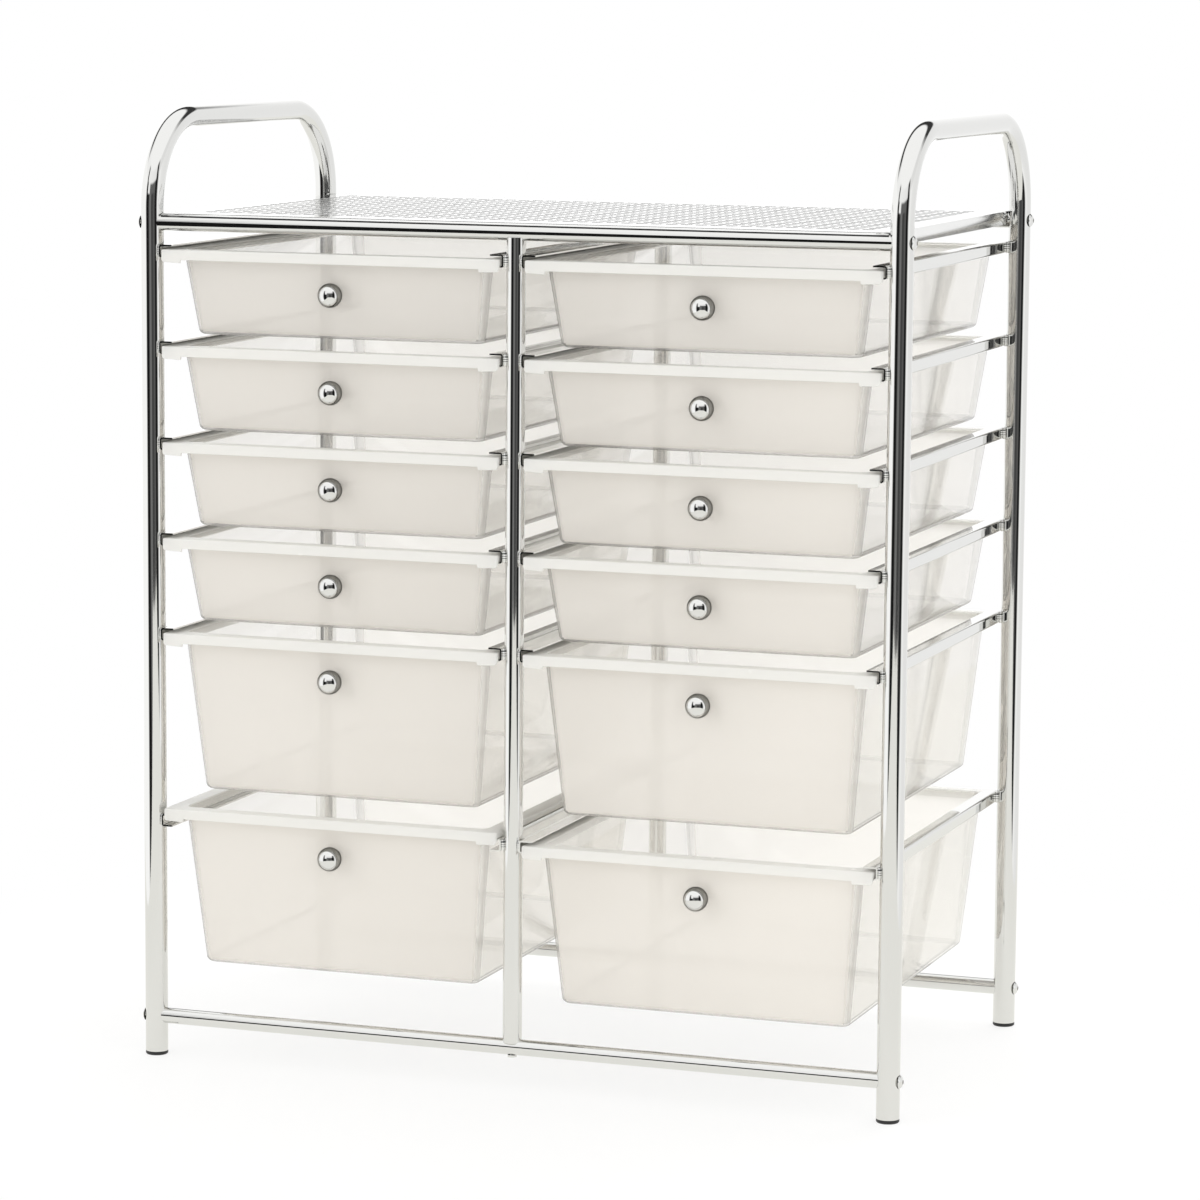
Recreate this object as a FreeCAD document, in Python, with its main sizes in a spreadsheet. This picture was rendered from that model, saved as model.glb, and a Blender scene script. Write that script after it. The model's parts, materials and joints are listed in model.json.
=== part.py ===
import FreeCAD, Part
import os
import re
import Sketcher

# Storage cart: a chromed tube frame, a perforated top shelf and twelve plastic drawers in two columns.
# Millimetres. X runs along the front to the right, Y into the depth, Z up.
# The origin is on the floor, under the middle of the whole cart.

Vector = FreeCAD.Vector
os.makedirs("parts", exist_ok=True)
doc = FreeCAD.newDocument("StorageCart")

# Driving sizes
SIZES = {
    # Side frames: one bent tube each, legs and handle together
    "sideSpacing": (612, "left to right, between the side frames' axes"),
    "depthSpacing": (348, "front to rear, between a side frame's legs"),
    "tubeDiameter": (18, "side frame tube"),
    "tubeWall": (1, "wall of the side frame tube"),
    "handleHeight": (749.5, "axis of the handle above the floor"),
    "handleBend": (70, "bend radius of the handle, on the axis"),
    # Plugs in the legs
    "capHeight": (3, "plug under the end of the leg"),
    "capBevel": (0.8, "bevel round the plug's foot"),
    "plugLength": (21, "plug inside the leg"),
    "socketRadius": (5.7, "socket for a caster's stem"),
    "socketDepth": (22, "depth of that socket"),
    "fitGap": (0.05, "radial clearance of what slides into a tube"),
    # Cross bars and centre posts
    "barDiameter": (12.7, "cross bars"),
    "barWall": (0.9, "wall of the bars and of the centre posts"),
    "topBarHeight": (669, "axis of the top bars"),
    "bottomBarHeight": (32, "axis of the bottom bars"),
    "postDiameter": (15, "centre posts"),
    "postSaddle": (2.5, "how far a post's end laps over its bar"),
    # Screws and their inserts
    "boltRadius": (2.5, "shank of the frame bolts"),
    "boltHole": (2.6, "hole for that shank"),
    "boltHead": (5.5, "radius of the bolt's domed head"),
    "boltDome": (2.8, "height of that head"),
    "boltSocket": (1.6, "radius of the recess for the key"),
    "boltSocketDepth": (1.6, "depth of that recess"),
    "boltReach": (12, "shank inside the bar's insert"),
    "insertLength": (16, "threaded insert in a bar's end"),
    "postInsertLength": (12, "threaded insert in a centre post's end"),
    "screwRadius": (2, "shank of the small screws"),
    "screwHole": (2.1, "hole for that shank"),
    "screwHead": (3.6, "radius of the small screw's head"),
    "screwDome": (1.6, "height of that head"),
    "screwReach": (8, "screw inside the post's insert"),
    # Top shelf: a perforated sheet hooked over the top bars
    "shelfSheet": (1, "sheet of the shelf"),
    "shelfGap": (0.3, "gap between the shelf and the legs"),
    "shelfCurl": (40, "degrees that the sheet wraps round a bar past its top"),
    "curlRadius": (6.6, "inner radius of that wrap"),
    "shelfFlange": (10.7, "folded edge at each side, with the sheet"),
    "flangeSetback": (9, "from a bar's axis to the end of the folded edge"),
    "slotLength": (20, "slots of the perforation, along X"),
    "slotWidth": (3.4, "slots of the perforation, along Y"),
    "slotPitchAcross": (48, "slot to slot along a row"),
    "slotPitchDeep": (32, "a row to the second one behind it"),
    # Runners: folded channels between the legs, open towards the drawers
    "runnerTop": (652, "upper face of the highest runners"),
    "shallowPitch": (76, "one shallow drawer to the next"),
    "deepPitch": (150, "the upper deep drawer to the lower one"),
    "runnerHeight": (10, "channel, outside"),
    "runnerFlange": (11, "upper flange, from the web's outer face"),
    "runnerFoot": (9, "lower flange, from the web's outer face"),
    "runnerSheet": (1.2, "sheet of the channel"),
    "runnerBend": (2, "outer radius of the folds"),
    "runnerNose": (8, "runner in front of the front legs' axis"),
    # Drawers
    "rimDrop": (3.7, "drawer's rim below the runner's upper face"),
    "rimWidth": (284, "drawer over its side rims"),
    "rimFront": (10.5, "front lip in front of the front legs' axis"),
    "rimLength": (376.3, "from the front lip to the rear rim"),
    "rimSheet": (1.8, "flange and skirt of the rim"),
    "rimSkirt": (4.8, "turned-down edge at the sides and the rear"),
    "rimCorner": (8, "rear corners of the rim"),
    "lipHeight": (8, "front lip"),
    "wingHeight": (10.5, "front lip at its two ends"),
    "wingWidth": (17, "those ends, along the lip"),
    "wingCorner": (4.5, "lower outer corner of a lip's end"),
    "lipCorner": (2, "upper outer corner of a lip's end"),
    "sideOverhang": (11.75, "rim beyond the side wall"),
    "frontOverhang": (12, "lip beyond the front wall"),
    "rearOverhang": (9.5, "rim beyond the rear wall"),
    "wallThickness": (1.8, "drawer's walls"),
    "floorThickness": (2, "drawer's floor"),
    "topCorner": (9, "upright corners at the rim, outside"),
    "floorEdge": (5, "rounding between the walls and the floor, outside"),
    "shallowDepth": (67.5, "shallow drawer, rim to underside"),
    "deepDepth": (128, "deep drawer, rim to underside"),
    "shallowDraft": (9, "how far a shallow drawer's walls lean in"),
    "deepDraft": (12.5, "how far a deep drawer's walls lean in"),
    "liftedDrawer": (8.8, "lower left drawer, lying on top of its runners"),
    # Knobs: a ball turned with flats, on a neck whose spigot goes through the wall
    "knobDrop": (30.5, "knob's axis on the front wall, below the rim"),
    "knobReach": (11.6, "middle of the ball in front of the wall"),
    "knobRadius": (9.5, "ball"),
    "knobFlat": (22.5, "degrees from the ball's middle to the edge of its flat flank"),
    "knobFoot": (4.8, "radius of the foot on the wall"),
    "spigotRadius": (2.4, "spigot through the wall"),
    "spigotGap": (0.1, "hole in the wall wider than the spigot"),
}

# Lengths that follow from these, written once for the expressions below
BAR = "(barDiameter / 2)"
TUBE = "(tubeDiameter / 2)"
POST = "(postDiameter / 2)"
END = "(depthSpacing / 2)"
SIDE = "(sideSpacing / 2)"
LEG_FIT = f"({TUBE} - tubeWall - fitGap)"
BAR_FIT = f"({BAR} - barWall - fitGap)"
POST_FIT = f"({POST} - barWall - fitGap)"
COLUMN = f"(({SIDE} - {TUBE} + {POST}) / 2)"
LIP = f"(-{END} - rimFront)"
REAR_RIM = f"({LIP} + rimLength)"
ROWS = [f"runnerTop - {row} * shallowPitch" for row in range(5)] + ["runnerTop - 4 * shallowPitch - deepPitch"]
DEEP_ROWS = (5, 6)

sheet = doc.addObject("Spreadsheet::Sheet", "Sizes")
for line, (alias, (size, note)) in enumerate(SIZES.items(), start=1):
    sheet.set(f"A{line}", note)
    sheet.set(f"B{line}", str(size))
    sheet.setAlias(f"B{line}", alias)
doc.recompute()

bodies = []


def formula(text):
    """Put the sheet's name before every size that an expression names."""
    return re.sub(r"[A-Za-z]\w*", lambda word: f"Sizes.{word[0]}" if word[0] in SIZES else word[0], text)


def number(text):
    """Value of an expression, for the first guess of a sketch's geometry."""
    return float(doc.getObject("Sizes").evalExpression(formula(text)))


def bind(thing, prop, text):
    thing.setExpression(prop, formula(text))


def new_body(label, x="0", y="0", z="0"):
    """Body with its Label, placed by expressions."""
    made = doc.addObject("PartDesign::Body", label)
    made.Label = label
    for axis, place in zip("xyz", (x, y, z)):
        bind(made, f"Placement.Base.{axis}", place)
    bodies.append(made)
    return made


def datum(body, role):
    """Origin plane or axis of a body, such as XY_Plane or Z_Axis."""
    return next(each for each in body.Origin.OriginFeatures if each.Role == role)


def new_sketch(body, role, name, offset="0"):
    """Sketch on an origin plane, moved along its normal. The normals are +Z, -Y (XZ) and +X (YZ)."""
    made = body.newObject("Sketcher::SketchObject", f"{body.Name}_{name}")
    made.AttachmentSupport = (datum(body, role), [""])
    made.MapMode = "FlatFace"
    bind(made, "AttachmentOffset.Base.z", offset)
    return made


def pin(sketch, index, point, x, y):
    """Hold a point of the geometry at x, y from the sketch's origin."""
    for kind, place in (("DistanceX", x), ("DistanceY", y)):
        held = sketch.addConstraint(Sketcher.Constraint(kind, index, point, number(place)))
        bind(sketch, f"Constraints[{held}]", place)


def circle(sketch, x, y, radius):
    shape = Part.Circle(Vector(number(x), number(y), 0), Vector(0, 0, 1), number(radius))
    index = sketch.addGeometry(shape, False)
    held = sketch.addConstraint(Sketcher.Constraint("Radius", index, number(radius)))
    bind(sketch, f"Constraints[{held}]", radius)
    pin(sketch, index, 3, x, y)


def outline(sketch, *steps, closed=True):
    """Draw a profile. A step (x, y) ends a line, (x, y, r) an arc of radius r: left turn if r > 0."""
    points = [Vector(number(step[0]), number(step[1]), 0) for step in steps]
    ends = []
    for place, step in enumerate(steps):
        if place == 0 and not closed:
            continue
        start, end = points[place - 1], points[place]
        if len(step) == 2:
            index = sketch.addGeometry(Part.LineSegment(start, end), False)
            ends.append((index, 1, 2))
            continue
        radius = number(step[2])
        chord = end - start
        across = Vector(-chord.y, chord.x, 0).normalize()
        height = max(radius * radius - chord.Length ** 2 / 4, 0) ** 0.5
        centre = (start + end) / 2 + across * (height if radius > 0 else -height)
        spin = Part.Circle(centre, Vector(0, 0, 1), abs(radius))
        first, last = (start, end) if radius > 0 else (end, start)
        index = sketch.addGeometry(Part.ArcOfCircle(spin, spin.parameter(first), spin.parameter(last)), False)
        ends.append((index, 1, 2) if radius > 0 else (index, 2, 1))
        held = sketch.addConstraint(Sketcher.Constraint("Radius", index, abs(radius)))
        bind(sketch, f"Constraints[{held}]", f"abs({step[2]})")
    drawn = steps if closed else steps[1:]
    for (index, first, last), step in zip(ends, drawn):
        pin(sketch, index, last, step[0], step[1])
    for before, after in zip(ends[-1:] + ends[:-1] if closed else ends[:-1], ends if closed else ends[1:]):
        sketch.addConstraint(Sketcher.Constraint("Coincident", before[0], before[2], after[0], after[1]))
    if not closed:
        pin(sketch, ends[0][0], ends[0][1], steps[0][0], steps[0][1])


def rounded_box(sketch, width, front, rear, corner, front_corner=None):
    """Box about x = 0, from front to rear, with round corners."""
    half, near = f"({width}) / 2", front_corner or corner
    outline(sketch,
            (f"{half} - {near}", front),
            (half, f"{front} + {near}", near),
            (half, f"{rear} - {corner}"),
            (f"{half} - {corner}", rear, corner),
            (f"-{half} + {corner}", rear),
            (f"-{half}", f"{rear} - {corner}", corner),
            (f"-{half}", f"{front} + {near}"),
            (f"-{half} + {near}", front, near))


def feature(body, kind, name, sketch, **options):
    """Feature of a body, made from one sketch."""
    made = body.newObject(f"PartDesign::{kind}", f"{body.Name}_{name}")
    made.Profile = sketch
    for option, value in options.items():
        setattr(made, option, value)
    return made


def pad(body, sketch, length, name, **options):
    made = feature(body, "Pad", name, sketch, **options)
    bind(made, "Length", length)
    return made


def pocket(body, sketch, name, length=None, **options):
    """Cut against the sketch's normal, or through everything where no length is given."""
    made = feature(body, "Pocket", name, sketch, **options)
    if length is None:
        made.Type = "ThroughAll"
    else:
        bind(made, "Length", length)
    return made


def turn(body, sketch, name, edge=None):
    """Turn a profile round one of its own straight edges, or round the sketch's upright axis."""
    axis = "V_Axis" if edge is None else f"Edge{edge}"
    return feature(body, "Revolution", name, sketch, ReferenceAxis=(sketch, [axis]), Angle=360)


def repeat(body, name, originals, *moves):
    """Repeat features on every place that the moves give. A move is a plane's role to mirror in,
    or an axis's role with a spacing and a count, the spacing led by a minus sign to go backwards."""
    grid = body.newObject("PartDesign::MultiTransform", f"{body.Name}_{name}")
    grid.Originals = originals
    steps = []
    for place, move in enumerate(moves, start=1):
        if isinstance(move, str):
            step = body.newObject("PartDesign::Mirrored", f"{body.Name}_{name}_mirror_{place}")
            step.MirrorPlane = (datum(body, move), [""])
        else:
            role, spacing, count = move
            step = body.newObject("PartDesign::LinearPattern", f"{body.Name}_{name}_line_{place}")
            step.Direction = (datum(body, role), [""])
            step.Reversed = spacing.startswith("-")
            step.Mode = "Spacing"
            step.Occurrences = count
            bind(step, "Offset", spacing.lstrip("-"))
        steps.append(step)
    grid.Transformations = steps
    body.Tip = grid
    return grid


def side_frame(label, side):
    """Bent tube: front leg, handle and rear leg in one, with a hole for each bar's bolt."""
    body = new_body(label, x=f"{side} * {SIDE}")
    path = new_sketch(body, "YZ_Plane", "path")
    shoulder = "handleHeight - handleBend"
    outline(path,
            (f"-{END}", "capHeight"),
            (f"-{END}", shoulder),
            (f"-{END} + handleBend", "handleHeight", "-handleBend"),
            (f"{END} - handleBend", "handleHeight"),
            (END, shoulder, "-handleBend"),
            (END, "capHeight"),
            closed=False)
    section = new_sketch(body, "XY_Plane", "section", offset="capHeight")
    circle(section, "0", f"-{END}", TUBE)
    circle(section, "0", f"-{END}", f"{TUBE} - tubeWall")
    feature(body, "AdditivePipe", "tube", section, Spine=(path, [f"Edge{edge}" for edge in range(1, 6)]))
    holes = new_sketch(body, "YZ_Plane", "bolt_holes")
    for y in (f"-{END}", END):
        for z in ("topBarHeight", "bottomBarHeight"):
            circle(holes, y, z, "boltHole")
    pocket(body, holes, "bolt_pocket", Midplane=True)


def foot_plugs():
    """Plugs in the ends of the four legs, each with a socket for the stem of a caster."""
    body = new_body("foot_plugs", x=f"-{SIDE}", y=f"-{END}")
    body.AllowCompound = True
    profile = new_sketch(body, "XZ_Plane", "profile")
    outline(profile,
            ("socketRadius", "0"),
            (f"{TUBE} - capBevel", "0"),
            (TUBE, "capBevel"),
            (TUBE, "capHeight"),
            (LEG_FIT, "capHeight"),
            (LEG_FIT, "capHeight + plugLength"),
            ("0", "capHeight + plugLength"),
            ("0", "socketDepth"),
            ("socketRadius", "socketDepth"))
    repeat(body, "legs", [turn(body, profile, "turned")],
           ("X_Axis", "sideSpacing", 2), ("Y_Axis", "depthSpacing", 2))


def cross_bar(label, end, height, access):
    """Tube between the side frames, coped to their legs, drilled for the centre post's screw."""
    body = new_body(label, y=f"{end} * {END}", z=height)
    section = new_sketch(body, "YZ_Plane", "section")
    circle(section, "0", "0", BAR)
    circle(section, "0", "0", f"{BAR} - barWall")
    pad(body, section, "sideSpacing", "tube", Midplane=True)
    cuts = new_sketch(body, "XY_Plane", "cuts")
    for side in (-1, 1):
        circle(cuts, f"{side} * {SIDE}", "0", f"{TUBE} + fitGap")
    circle(cuts, "0", "0", "screwHole")
    pocket(body, cuts, "copes_and_hole", Midplane=True)
    if access:
        hole = new_sketch(body, "XY_Plane", "access_hole")
        circle(hole, "0", "0", "screwHead + 4 * fitGap")
        pocket(body, hole, "access", Reversed=True)


def centre_post(label, end):
    """Upright tube between the top and the bottom bar, its ends saddled over them."""
    body = new_body(label, y=f"{end} * {END}")
    section = new_sketch(body, "XY_Plane", "section", offset=f"bottomBarHeight + {BAR} - postSaddle")
    circle(section, "0", "0", POST)
    circle(section, "0", "0", f"{POST} - barWall")
    pad(body, section, f"topBarHeight - bottomBarHeight - 2 * ({BAR} - postSaddle)", "tube")
    saddles = new_sketch(body, "YZ_Plane", "saddles")
    for height in ("topBarHeight", "bottomBarHeight"):
        circle(saddles, "0", height, f"{BAR} + fitGap")
    pocket(body, saddles, "saddle_cut", Midplane=True)


def top_shelf():
    """Sheet hooked over both top bars, folded down at the sides and perforated in staggered rows."""
    body = new_body("top_shelf", z="topBarHeight")
    width = f"(sideSpacing - tubeDiameter - 2 * shelfGap)"
    inner, outer, middle = "curlRadius", "(curlRadius + shelfSheet)", f"({BAR} - curlRadius)"
    section = new_sketch(body, "YZ_Plane", "section")
    outline(section,
            (f"-{END} - {inner} * sin(shelfCurl)", f"{middle} + {inner} * cos(shelfCurl)"),
            (f"-{END}", BAR, f"-{inner}"),
            (END, BAR),
            (f"{END} + {inner} * sin(shelfCurl)", f"{middle} + {inner} * cos(shelfCurl)", f"-{inner}"),
            (f"{END} + {outer} * sin(shelfCurl)", f"{middle} + {outer} * cos(shelfCurl)"),
            (END, f"{BAR} + shelfSheet", outer),
            (f"-{END}", f"{BAR} + shelfSheet"),
            (f"-{END} - {outer} * sin(shelfCurl)", f"{middle} + {outer} * cos(shelfCurl)", outer))
    pad(body, section, width, "sheet", Midplane=True)
    flange = new_sketch(body, "XZ_Plane", "flange")
    low = f"{BAR} + shelfSheet - shelfFlange"
    outline(flange,
            (f"{width} / 2 - shelfSheet", low),
            (f"{width} / 2", low),
            (f"{width} / 2", BAR),
            (f"{width} / 2 - shelfSheet", BAR))
    fold = pad(body, flange, "depthSpacing - 2 * flangeSetback", "fold", Midplane=True)
    repeat(body, "folds", [fold], "YZ_Plane")
    columns, rows = (int(number(f"{span} / {pitch}")) for span, pitch in (
        (f"({width} - slotPitchAcross)", "slotPitchAcross"), ("(depthSpacing - slotPitchDeep / 2)", "slotPitchDeep")))
    slots = new_sketch(body, "XY_Plane", "slots", offset=BAR)
    for stagger in (-0.25, 0.25):
        x = f"({stagger} - {columns - 1} / 2) * slotPitchAcross"
        y = f"({stagger} - {rows - 1} / 2) * slotPitchDeep"
        outline(slots,
                (f"{x} - slotLength / 2", f"{y} - slotWidth / 2"),
                (f"{x} + slotLength / 2", f"{y} - slotWidth / 2"),
                (f"{x} + slotLength / 2", f"{y} + slotWidth / 2"),
                (f"{x} - slotLength / 2", f"{y} + slotWidth / 2"))
    cut = pocket(body, slots, "slot_pair", length="2 * shelfSheet", Reversed=True)
    repeat(body, "perforation", [cut], ("X_Axis", "slotPitchAcross", columns), ("Y_Axis", "slotPitchDeep", rows))


def runner_group(label, face, opens):
    """Six channels, one under the other, on one line of legs. opens is +1 where they open towards +X."""
    body = new_body(label, x=face, z="runnerTop")
    body.AllowCompound = True

    def channel(name, drop):
        profile = new_sketch(body, "XZ_Plane", name, offset=f"-{END}")
        high, low, wall, bend = f"-({drop})", f"-({drop}) - runnerHeight", "runnerSheet", "runnerBend"
        corners = [("runnerFlange", high),
                   (bend, high),
                   ("0", f"{high} - {bend}", bend),
                   ("0", f"{low} + {bend}"),
                   (bend, low, bend),
                   ("runnerFoot", low),
                   ("runnerFoot", f"{low} + {wall}"),
                   (bend, f"{low} + {wall}"),
                   (wall, f"{low} + {bend}", f"-({bend} - {wall})"),
                   (wall, f"{high} - {bend}"),
                   (bend, f"{high} - {wall}", f"-({bend} - {wall})"),
                   ("runnerFlange", f"{high} - {wall}")]
        outline(profile, *[(f"{opens} * ({x})", z, *[f"{opens} * ({r})" for r in turned])
                           for x, z, *turned in corners])
        return pad(body, profile, "depthSpacing + runnerNose", f"{name}_length")

    repeat(body, "levels", [channel("upper", "0")], ("Z_Axis", "-shallowPitch", 5))
    channel("lowest", "4 * shallowPitch + deepPitch")


def at_bar_ends(body, made):
    """Repeat what is made at the top right front end of a bar at the other seven."""
    repeat(body, "ends", [made], ("Y_Axis", "depthSpacing", 2),
           ("Z_Axis", "-(topBarHeight - bottomBarHeight)", 2), "YZ_Plane")


def frame_bolts():
    """Eight domed bolts through the legs into the ends of the bars."""
    body = new_body("frame_bolts", y=f"-{END}", z="topBarHeight")
    body.AllowCompound = True
    seat, tip = f"({SIDE} + {TUBE})", f"({SIDE} - {TUBE} - boltReach)"
    dome = "((boltHead * boltHead + boltDome * boltDome) / (2 * boltDome))"
    mouth = f"{seat} + boltDome - {dome} + sqrt({dome} * {dome} - boltSocket * boltSocket)"
    profile = new_sketch(body, "XY_Plane", "profile")
    outline(profile,
            (f"{seat} + boltDome - boltSocketDepth", "0"),
            (tip, "0"),
            (tip, "-boltRadius"),
            (seat, "-boltRadius"),
            (seat, "-boltHead"),
            (mouth, "-boltSocket", dome),
            (f"{seat} + boltDome - boltSocketDepth", "-boltSocket"))
    at_bar_ends(body, turn(body, profile, "turned", edge=2))


def bar_end_inserts():
    """Threaded inserts inside the ends of the bars, which the bolts pull against the legs."""
    body = new_body("bar_end_inserts", y=f"-{END}", z="topBarHeight")
    body.AllowCompound = True
    mouth = f"{SIDE} - {TUBE} - 2 * fitGap"
    section = new_sketch(body, "YZ_Plane", "section", offset=f"{mouth} - insertLength")
    circle(section, "0", "0", BAR_FIT)
    circle(section, "0", "0", "boltRadius + fitGap")
    at_bar_ends(body, pad(body, section, "insertLength", "sleeve"))


def centre_post_screws():
    """Screws through the bars into the centre posts: the lower heads under the bar, the upper ones inside."""
    body = new_body("centre_post_screws", y=f"-{END}")
    body.AllowCompound = True
    inside = f"(sqrt(({BAR} - barWall) ^ 2 - screwHead ^ 2) - fitGap)"
    for name, seat, up, tip in (
            ("lower", f"(bottomBarHeight - {BAR})", 1, f"(bottomBarHeight + {BAR} + screwReach)"),
            ("upper", f"(topBarHeight - {inside})", -1, f"(topBarHeight - {BAR} - screwReach)")):
        profile = new_sketch(body, "XZ_Plane", f"{name}_profile")
        top = f"{seat} - {up} * screwDome"
        corners = [("0", top), ("screwHead", top), ("screwHead", seat), ("screwRadius", seat),
                   ("screwRadius", tip), ("0", tip)]
        outline(profile, *corners)
        made = turn(body, profile, f"{name}_turned")
        repeat(body, f"{name}_pair", [made], ("Y_Axis", "depthSpacing", 2))


def centre_post_inserts():
    """Threaded inserts in the ends of the centre posts."""
    body = new_body("centre_post_inserts", y=f"-{END}")
    body.AllowCompound = True
    for name, low in (("lower", f"bottomBarHeight + {BAR} + 2 * fitGap"),
                      ("upper", f"topBarHeight - {BAR} - 2 * fitGap - postInsertLength")):
        section = new_sketch(body, "XY_Plane", f"{name}_section", offset=low)
        circle(section, "0", "0", POST_FIT)
        circle(section, "0", "0", "screwRadius + fitGap")
        made = pad(body, section, "postInsertLength", f"{name}_sleeve")
        repeat(body, f"{name}_pair", [made], ("Y_Axis", "depthSpacing", 2))


def wall_slope(deep):
    """How far a drawer's walls lean in, and over what height."""
    return ("deepDraft", "(deepDepth - floorEdge)") if deep else ("shallowDraft", "(shallowDepth - floorEdge)")


def front_wall(deep):
    """Y of the front wall's outer face at the knob's height."""
    draft, run = wall_slope(deep)
    return f"({LIP} + frontOverhang + {draft} * knobDrop / {run})"


def lean_back(thing, prop, angle):
    """Turn a placement about the X axis by an expression."""
    place = getattr(thing, prop)
    setattr(thing, prop, FreeCAD.Placement(place.Base, FreeCAD.Rotation(Vector(1, 0, 0), number(angle))))
    bind(thing, f"{prop}.Rotation.Angle", angle)


def drawer(label, x, rim, deep):
    """Moulded drawer: a rim turned down at the sides and the rear, a front lip and tapered walls."""
    body = new_body(label, x=x, z=rim)
    draft, run = wall_slope(deep)

    # Rim with its skirt
    plate = new_sketch(body, "XY_Plane", "rim_outline")
    rounded_box(plate, "rimWidth", LIP, REAR_RIM, "rimCorner", "lipCorner")
    pad(body, plate, "rimSkirt", "rim", Reversed=True)
    under = new_sketch(body, "XY_Plane", "rim_underside", offset="-rimSkirt")
    rounded_box(under, "rimWidth - 2 * rimSheet", f"{LIP} + rimSheet", f"{REAR_RIM} - rimSheet",
                "(rimCorner - rimSheet)")
    pocket(body, under, "rim_hollow", length="rimSkirt - rimSheet", Reversed=True)

    # Front lip, taller at its two ends
    lip = new_sketch(body, "XZ_Plane", "lip_outline", offset=f"-{LIP}")
    half, deep_end, shallow_end = "rimWidth / 2", "-wingHeight", "-lipHeight"
    outline(lip,
            (f"{half} - lipCorner", "0", "lipCorner"),
            (f"-{half} + lipCorner", "0"),
            (f"-{half}", "-lipCorner", "lipCorner"),
            (f"-{half}", f"{deep_end} + wingCorner"),
            (f"-{half} + wingCorner", deep_end, "wingCorner"),
            (f"-{half} + wingWidth", deep_end),
            (f"-{half} + wingWidth", shallow_end),
            (f"{half} - wingWidth", shallow_end),
            (f"{half} - wingWidth", deep_end),
            (f"{half} - wingCorner", deep_end),
            (half, f"{deep_end} + wingCorner", "wingCorner"),
            (half, "-lipCorner"))
    pad(body, lip, "rimSheet", "lip", Reversed=True)

    # Walls and floor, outside and then inside, with the floor's edge rounded in flats
    def taper(kind, name, inset, low, edge):
        flats = [(f"{low} + {edge} * (1 - sin({turned}))", f"{edge} * (1 - cos({turned}))") for turned in (0, 45, 90)]
        sections = []
        for level, lean in [("0", "0")] + [(level, f"({draft} + {shrink})") for level, shrink in flats]:
            section = new_sketch(body, "XY_Plane", f"{name}_{len(sections)}", offset=level)
            corner = f"(topCorner - {inset} - floorEdge * {lean} / ({draft} + floorEdge) / 2)"
            rounded_box(section, f"rimWidth - 2 * (sideOverhang + {lean} + {inset})",
                        f"{LIP} + frontOverhang + {lean} + {inset}",
                        f"{REAR_RIM} - rearOverhang - {lean} - {inset}", corner)
            sections.append(section)
        feature(body, kind, name, sections[0], Sections=sections[1:], Ruled=True)

    taper("AdditiveLoft", "outside", "0", f"-({run} + floorEdge)", "floorEdge")
    taper("SubtractiveLoft", "inside", "wallThickness", f"-({run} + floorEdge - floorThickness)",
          "(floorEdge - wallThickness)")

    # Hole for the knob, square to the wall
    hole = new_sketch(body, "XZ_Plane", "knob_hole", offset=f"-{front_wall(deep)}")
    bind(hole, "AttachmentOffset.Base.y", "-knobDrop")
    lean_back(hole, "AttachmentOffset", f"atan({draft} / {run})")
    circle(hole, "0", "0", "spigotRadius + spigotGap")
    pocket(body, hole, "knob_hole_cut", length="4 * wallThickness", Midplane=True)


def knob(label, x, rim, deep):
    """Ball turned with flats, its neck square to the sloping wall and its spigot through it."""
    body = new_body(label, x=x, y=front_wall(deep), z=f"{rim} - knobDrop")
    draft, run = wall_slope(deep)
    lean_back(body, "Placement", f"90 deg + atan({draft} / {run})")
    flat = "(knobRadius * tan(knobFlat))"
    profile = new_sketch(body, "XZ_Plane", "profile")
    outline(profile,
            ("0", "-wallThickness"),
            ("spigotRadius", "-wallThickness"),
            ("spigotRadius", "0"),
            ("knobFoot", "0"),
            (flat, f"knobReach - knobRadius"),
            ("knobRadius", f"knobReach - {flat}"),
            ("knobRadius", f"knobReach + {flat}"),
            (flat, "knobReach + knobRadius"),
            ("0", "knobReach + knobRadius"))
    turn(body, profile, "turned")


# The pieces
for label, side in (("left_side_frame", -1), ("right_side_frame", 1)):
    side_frame(label, side)
foot_plugs()
for end_name, end in (("front", -1), ("rear", 1)):
    cross_bar(f"top_{end_name}_bar", end, "topBarHeight", access=True)
    cross_bar(f"bottom_{end_name}_bar", end, "bottomBarHeight", access=False)
    centre_post(f"centre_{end_name}_post", end)
top_shelf()
runner_group("left_runners", f"-({SIDE} - {TUBE})", 1)
runner_group("centre_left_runners", f"-{POST}", -1)
runner_group("centre_right_runners", POST, 1)
runner_group("right_runners", f"{SIDE} - {TUBE}", -1)
frame_bolts()
bar_end_inserts()
centre_post_screws()
centre_post_inserts()
for column, side in (("left", -1), ("right", 1)):
    for row, level in enumerate(ROWS, start=1):
        lift = " + liftedDrawer" if (column, row) == ("left", 6) else ""
        rim = f"({level} - rimDrop{lift})"
        place = (f"{side} * {COLUMN}", rim, row in DEEP_ROWS)
        drawer(f"{column}_drawer_{row}", *place)
        knob(f"{column}_knob_{row}", *place)

# Build, test and write the pieces
doc.recompute()
for each in doc.Objects:
    if "Invalid" in each.State or "Error" in each.State:
        raise RuntimeError(f"{each.Name}: {each.State}")
for body in bodies:
    shape = body.Shape
    if shape.isNull() or not shape.isValid():
        raise RuntimeError(f"{body.Label} has no valid shape")
    shape.exportStep(f"parts/{body.Label}.step")
    print(f"{body.Label}: {len(shape.Solids)} solids, {shape.Volume / 1000:.1f} cm3")
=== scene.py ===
import bpy
import json
import math
from mathutils import Matrix, Vector

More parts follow.
